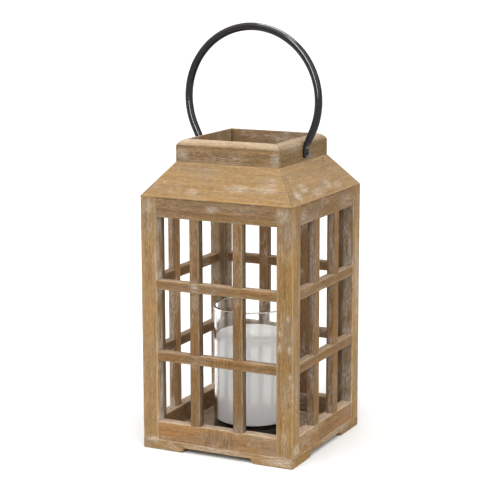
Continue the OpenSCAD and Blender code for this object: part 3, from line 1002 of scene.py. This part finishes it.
handle = dict(bar=10.0 * mm, flatThick=4 * mm, flatWide=11 * mm,
              lean=25, bendAt=7.5 * mm, bendRound=9 * mm,     # lean in degrees, bend above the pivot
              collarGap=0.5 * mm,                             # between the collar and the flat
              tipDown=6.6 * mm, tipRound=1.2 * mm,            # how far the tip reaches below the pivot
              taperFrom=0.5 * mm, taper=11 * mm,              # past the start of the bend
              squareness=5.5,                                 # of the flat's section; 2 is round
              hammerLong=7 * mm, hammerRows=6, hammerDeep=0.02,
              step=1.2 * mm, around=48)


# Half of the bar's middle line, from its tip to the top of the loop: how far along each point
# is, its x and z, its heading, and where the bend starts. The heading goes from straight up
# through a short bend outwards and a straight run, and then falls evenly round the loop until
# it is level on top; x and z add up its sine and cosine.
def halfHandleLine():
    h = handle
    loopR = handleHigh[0] - h["bar"] / 2
    flatX = collarHigh[0] + h["collarGap"] + h["flatThick"] / 2
    lean = math.radians(h["lean"])
    ease = h["bendRound"] * math.tan(lean / 2)
    run = (loopR * math.cos(lean) - flatX) / math.sin(lean)
    ends = np.cumsum([h["tipDown"] + h["bendAt"] - ease, h["bendRound"] * lean, run - ease,
                      loopR * (lean + math.pi / 2)])
    even = np.linspace(0, ends[-1], int(round(ends[-1] / h["step"])) + 1)
    roundTip = h["tipRound"] * (1 - np.cos(np.linspace(0, math.pi / 2, 7)))[:-1]
    s = np.concatenate([roundTip, even[even > 0.9 * h["tipRound"]]])
    heading = np.interp(s, [0, *ends], [0, 0, lean, lean, -math.pi / 2])
    middle, ds = (heading[1:] + heading[:-1]) / 2, np.diff(s)
    x = flatX + np.concatenate([[0], np.cumsum(np.sin(middle) * ds)])
    z = pivotZ - h["tipDown"] + np.concatenate([[0], np.cumsum(np.cos(middle) * ds)])
    x -= x[-1] * smooth(s, ends[2], ends[3])                  # the loop ends exactly on the middle
    z += (handleHigh[2] - h["bar"] / 2 - z[-1]) * smooth(s, ends[2], ends[3])
    return s, x, z, heading, ends[0]


# The bar's section is a superellipse, |x/a|^n + |y/b|^n = 1, that goes from a flattened bar to a
# round one, with n falling from squareness to 2. It is carried along the middle line, and the
# left half of the handle mirrors the right one.
def makeHandle():
    h = handle
    s, x, z, heading, bendStart = halfHandleLine()
    roundness = smooth(s, bendStart + h["taperFrom"], bendStart + h["taper"])
    cut = 1 - np.sqrt(np.clip(1 - (1 - np.clip(s / h["tipRound"], 0, 1)) ** 2, 0, 1))
    thick = (h["flatThick"] * (1 - roundness) + h["bar"] * roundness) / 2 - 0.5 * h["tipRound"] * cut
    wide = (h["flatWide"] * (1 - roundness) + h["bar"] * roundness) / 2 - h["tipRound"] * cut
    power = 2 / (h["squareness"] * (1 - roundness) + 2 * roundness)

    back = slice(-2, None, -1)                                # the mirrored half, without the top point
    x = np.concatenate([x, -x[back]])[:, None]
    heading = np.concatenate([heading, -math.pi - heading[back]])[:, None]
    s = np.concatenate([s, 2 * s[-1] - s[back]])[:, None]
    z, thick, wide, power = (np.concatenate([v, v[back]])[:, None] for v in (z, thick, wide, power))

    turn = np.linspace(0, 2 * math.pi, h["around"], endpoint=False)
    cosT, sinT = np.cos(turn), np.sin(turn)
    dents = softNoise(s / h["hammerLong"], turn / (2 * math.pi) * h["hammerRows"],
                      luck.random((97, h["hammerRows"])))
    shrink = 1 - h["hammerDeep"] * dents
    out = thick * np.sign(cosT) * np.abs(cosT) ** power * shrink
    side = wide * np.sign(sinT) * np.abs(sinT) ** power * shrink
    points = np.stack([x + np.cos(heading) * out, side, z - np.sin(heading) * out], -1)
    beaten = 1 - smooth(np.minimum(s, s[-1] - s), bendStart, bendStart + h["taper"])
    startPole, endPole = ([x[k, 0], 0, z[k, 0]] for k in (0, -1))
    bar = gridMesh("handle_bar", points, startPole, endPole,
                   dict(beaten=np.broadcast_to(beaten, out.shape)))
    return finishPiece(bar, blackSteel, "handle", "blackened_steel", "handle")


# Points on an arc in the (radius, height) plane, angles in degrees.
def arc(r, z, radius, first, last, count=8):
    a = np.radians(np.linspace(first, last, count))
    return [(r + radius * math.cos(t), z + radius * math.sin(t)) for t in a]


# An outline of (radius, height) points turned about an upright axis: x = r cos a, y = r sin a.
# The first and last points stand on the axis and become the poles.
def turned(name, outline, around=128, wobble=None):
    r, z = np.array(outline, float).T[:, :, None]
    a = np.linspace(0, 2 * math.pi, around, endpoint=False)
    points = np.stack(np.broadcast_arrays(r * np.cos(a), r * np.sin(a), z), -1)[1:-1]
    if wobble is not None:
        points = wobble(points)
    return gridMesh(name, points, [0, 0, z[0, 0]], [0, 0, z[-1, 0]])


glass = dict(wall=2.6 * mm, base=5 * mm, footRound=1.5 * mm, innerRound=2 * mm)


# An open cylinder: up the outside, round the rim, down the inside and across the thick bottom.
def makeGlass():
    r, z0, z1 = glassHigh[0], glassLow[2], glassHigh[2]
    wall, foot, hollow = glass["wall"], glass["footRound"], glass["innerRound"]
    inner, bottom = r - wall, z0 + glass["base"]
    outline = [(0, z0)]
    outline += [(f * (r - foot), z0) for f in np.linspace(0.1, 1, 10)]
    outline += arc(r - foot, z0 + foot, foot, -85, 0, 10)
    outline += [(r, z) for z in np.linspace(z0 + foot + 3 * mm, z1 - wall, 12)]
    outline += arc(r - wall / 2, z1 - wall / 2, wall / 2, 0, 180, 13)
    outline += [(inner, z) for z in np.linspace(z1 - wall, bottom + hollow + 2 * mm, 12)]
    outline += arc(inner - hollow, bottom + hollow, hollow, 0, -88, 8)
    outline += [(f * (inner - hollow), bottom) for f in np.linspace(0.95, 0.05, 8)]
    outline += [(0, bottom)]
    return finishPiece(turned("glass_tumbler", outline), clearGlass, "glass", "clear_glass",
                       "glass_cylinder")


candle = dict(edge=2.2 * mm, dish=0.7 * mm, footRound=1 * mm, swell=0.004, swellLong=14 * mm)


# A pillar with a rounded shoulder and a slightly dished top, whose side swells and shrinks by
# swell of its radius.
def makeCandle():
    r, z0, z1 = candleHigh[0], candleLow[2], candleHigh[2]
    edge, dish, foot = candle["edge"], candle["dish"], candle["footRound"]
    outline = [(0, z0)]
    outline += [(f * (r - foot), z0) for f in np.linspace(0.1, 1, 8)]
    outline += arc(r - foot, z0 + foot, foot, -80, 0, 5)
    outline += [(r, z) for z in np.linspace(z0 + 3 * mm, z1 - 2 * edge, 30)]
    outline += arc(r - edge, z1 - edge, edge, 0, 86, 8)
    outline += [(f * (r - edge), z1 - dish * (1 - f ** 3)) for f in np.linspace(0.97, 0.03, 24)]
    outline += [(0, z1 - dish)]

    def uneven(p):
        table = luck.random((12, 24))
        turn = np.arctan2(p[..., 1], p[..., 0]) / (2 * math.pi) * 12 + 24
        shrink = 1 - candle["swell"] * softNoise(turn, p[..., 2] / candle["swellLong"], table)
        return p * np.stack([shrink, shrink, np.ones(shrink.shape)], -1)

    piece = turned("pillar_candle", outline, wobble=uneven)
    return finishPiece(piece, wax, "candle", "candle_wax", "candle")


wick = dict(lean=1.2 * mm, curl=0.9 * mm, sunk=3 * mm, strands=3, twist=22, braidDeep=0.13)


# A braid that leans with the square of its height and curls with its cube. Its radius dips
# between the strands, which wind round it, and closes at the tip.
def makeWick():
    z0, z1 = candleHigh[2] - wick["sunk"], wickHigh[2]
    t = np.linspace(0, 1, 40)[:, None]
    a = np.linspace(0, 2 * math.pi, 24, endpoint=False)
    midX, midY = wick["lean"] * t ** 2, wick["curl"] * t ** 3
    braid = 1 - wick["braidDeep"] * np.abs(np.sin(wick["strands"] * a + wick["twist"] * t))
    close = np.sqrt(np.clip(1 - smooth(t, 0.9, 1.02) ** 2, 0.05, 1))
    ring = wickHigh[0] * braid * close
    points = np.stack(np.broadcast_arrays(midX + ring * np.cos(a), midY + ring * np.sin(a),
                                          z0 + (z1 - z0) * t), -1)
    piece = gridMesh("candle_wick", points, [0, 0, z0], [wick["lean"], wick["curl"], z1])
    return finishPiece(piece, cotton, "candle", "cotton_wick", "wick")


stand = dict(edge=0.8 * mm, wetting=0.05 * mm)


# A round plate with eased edges. It reaches a hair into the glass, whose foot then looks black,
# as glass does that stands on black iron.
def makeStand():
    r, z0 = standHigh[0], standLow[2]
    z1 = glassLow[2] + stand["wetting"]
    e = stand["edge"]
    outline = [(0, z0), (r * 0.5, z0), (r - e, z0)] + arc(r - e, z0 + e, e, -80, 0, 5)
    outline += arc(r - e, z1 - e, e, 0, 88, 6) + [(r * f, z1) for f in (0.9, 0.7, 0.4, 0.1)] + [(0, z1)]
    return finishPiece(turned("stand_plate", outline, 96), blackIron, "case", "black_stand",
                       "glass_stand")


screw = dict(headR=3.7 * mm, tall=1.6 * mm, dome=0.9 * mm, rim=0.4 * mm, shankR=2 * mm,
             shankLong=12.7 * mm, slotWide=1.2 * mm, slotDeep=0.8 * mm, slotTurn=35)


# Both screws in one mesh: a shank, a domed head, and a slot across it.
def makeScrews():
    top = screwHigh[0]
    seat, shoulder = top - screw["tall"], top - screw["dome"]
    r, rim, shank = screw["headR"], screw["rim"], screw["shankR"]
    point = seat - screw["shankLong"]
    outline = [(0, point), (shank * 0.6, point + 0.1 * mm), (shank, point + 0.9 * mm), (shank, seat)]
    outline += [(r * 0.8, seat)] + arc(r - rim, seat + rim, rim, -90, 0, 4)
    outline += [(r * math.cos(t), shoulder + screw["dome"] * math.sin(t))
                for t in np.radians(np.linspace(4, 86, 10))]
    outline += [(0, top)]
    screws = []
    for sign in (1, -1):
        piece = turned("screwBlank", outline, 48)
        piece.data.transform(Matrix.Translation((0, 0, pivotZ))
                             @ Matrix.Rotation(math.radians(90 * sign), 4, "Y"))
        bpy.ops.mesh.primitive_cube_add(size=1)
        cutter = bpy.context.object
        cutter.data.transform(Matrix.Translation((sign * (top - screw["slotDeep"] + 2 * mm), 0, pivotZ))
                              @ Matrix.Rotation(math.radians(screw["slotTurn"] * sign), 4, "X")
                              @ Matrix.Diagonal((4 * mm, 12 * mm, screw["slotWide"], 1)))
        cut = piece.modifiers.new("slot", "BOOLEAN")
        cut.object = cutter
        cut.operation = "DIFFERENCE"
        cut.solver = "EXACT"
        bpy.context.view_layer.objects.active = piece
        bpy.ops.object.modifier_apply(modifier=cut.name)
        bpy.data.objects.remove(cutter)
        screws.append(piece)
    bpy.ops.object.select_all(action="DESELECT")
    for piece in screws:
        piece.select_set(True)
    both = screws[0]
    bpy.context.view_layer.objects.active = both
    bpy.ops.object.join()
    both.name = "screw_pair"
    return finishPiece(both, blackSteel, "case", "blackened_steel", "pivot_screws")


makeHandle()
makeGlass()
makeCandle()
makeWick()
makeStand()
makeScrews()
print("handle, glass, candle, wick, stand and screws made")


studio = dict(floorWide=120.0, floorColor="DADAD9", floorTooth=0.05 * mm, domePower=0.6,
              # turn, rise and half width in degrees, and power, of each bright part of the dome
              glow=[(8, 44, 38, 3.6), (-62, 34, 36, 1.6), (0, 90, 60, 0.8), (70, 28, 45, 2.3)],
              # place, aim, width, height and power of the one lamp
              lamp=((-0.7, -1.7, 1.9), (0, 0, 0.3), 0.35, 0.35, 2),
              # and of the softboxes that only the ironwork mirrors, as lines of light
              softboxes=[((0.405, -1.754, 1.46), (0, 0, 1.46), 0.3, 2.2, 105),
                         ((0.05, 0.3, 1.7), (0, 0, 0.53), 1.0, 0.5, 42)])


# Matt white paper, its tooth drawn coarser than real so that it isn't lost.
def makeFloorSheet():
    bpy.ops.mesh.primitive_plane_add(size=studio["floorWide"])
    ground = bpy.context.object
    ground.name = "studio_floor"
    m = newMaterial("white paper floor")
    place = addNode(m, "ShaderNodeTexCoord").outputs["Object"]
    tooth = addNode(m, "ShaderNodeTexNoise", {"Vector": place, "Scale": 300, "Detail": 2.0}).outputs["Fac"]
    bump = addNode(m, "ShaderNodeBump",
                   {"Height": tooth, "Distance": studio["floorTooth"], "Strength": 0.2}).outputs[0]
    output(m, addNode(m, "ShaderNodeBsdfPrincipled",
                      {"Base Color": hexColor(studio["floorColor"]), "Roughness": 0.9, "Normal": bump,
                       "Specular IOR Level": 0.1}))
    ground.data.materials.append(m)


# A white dome that is brighter in front and above, straight overhead and on both sides. Each
# bright part adds its power times a smooth step of the cosine of the angle from its middle.
def makeDome():
    dome = bpy.data.worlds.new("studio_dome")
    scene.world = dome
    dome.use_nodes = True
    dome.node_tree.nodes.clear()
    look = addNode(dome, "ShaderNodeTexCoord").outputs["Generated"]
    power = studio["domePower"]
    for turn, rise, wide, extra in studio["glow"]:
        t, r = math.radians(turn), math.radians(rise)
        towards = (math.sin(t) * math.cos(r), -math.cos(t) * math.cos(r), math.sin(r))
        near = addNode(dome, "ShaderNodeVectorMath", {0: look, 1: towards},
                       operation="DOT_PRODUCT").outputs["Value"]
        glow = addNode(dome, "ShaderNodeMapRange",
                       {"Value": near, "From Min": math.cos(math.radians(wide)), "From Max": 1.0,
                        "To Max": extra}, interpolation_type="SMOOTHSTEP").outputs[0]
        power = addNode(dome, "ShaderNodeMath", {0: glow, 1: power}, operation="ADD").outputs[0]
    shine = addNode(dome, "ShaderNodeBackground", {"Color": hexColor("FFFFFF"), "Strength": power})
    addNode(dome, "ShaderNodeOutputWorld", {"Surface": shine.outputs[0]})


# An area light at spot, turned to face aim.
def hangLight(name, spot, aim, wide, tall, watts):
    light = bpy.data.lights.new(name, "AREA")
    light.shape = "RECTANGLE"
    light.size = wide
    light.size_y = tall
    light.energy = watts
    holder = bpy.data.objects.new(name, light)
    holder.location = spot
    holder.rotation_euler = (Vector(aim) - holder.location).to_track_quat("-Z", "Y").to_euler()
    scene.collection.objects.link(holder)
    return holder


# The floor, the dome, one small lamp for the crisp highlights, and the softboxes.
def makeStudio():
    makeFloorSheet()
    makeDome()
    hangLight("small_softbox", *studio["lamp"])
    ironwork = bpy.data.collections.new("ironwork")
    for name in ("handle_bar", "screw_pair"):
        ironwork.objects.link(bpy.data.objects[name])
    for softbox in studio["softboxes"]:
        holder = hangLight("line_softbox", *softbox)
        holder.visible_diffuse = False
        holder.light_linking.receiver_collection = ironwork


# length in millimetres of a lens for a 36 mm sensor, angles in degrees, aim and distance in metres
lens = dict(length=116.2, turn=26.217, rise=11.133, roll=0.098,
            aim=(-0.0026, -0.0014, 0.2489), distance=2.077)


# The camera stands back from its aim, turned to the right of the front and raised.
def makeCamera():
    a, e = math.radians(lens["turn"]), math.radians(lens["rise"])
    back = Vector((math.sin(a) * math.cos(e), -math.cos(a) * math.cos(e), math.sin(e)))
    data = bpy.data.cameras.new("studio_camera")
    data.lens = lens["length"]
    data.sensor_width = 36
    camera = bpy.data.objects.new("studio_camera", data)
    camera.location = Vector(lens["aim"]) + back * lens["distance"]
    camera.rotation_euler = (math.radians(90 - lens["rise"]), math.radians(lens["roll"]), a)
    scene.collection.objects.link(camera)
    scene.camera = camera


makeStudio()
makeCamera()

print("studio and camera made")
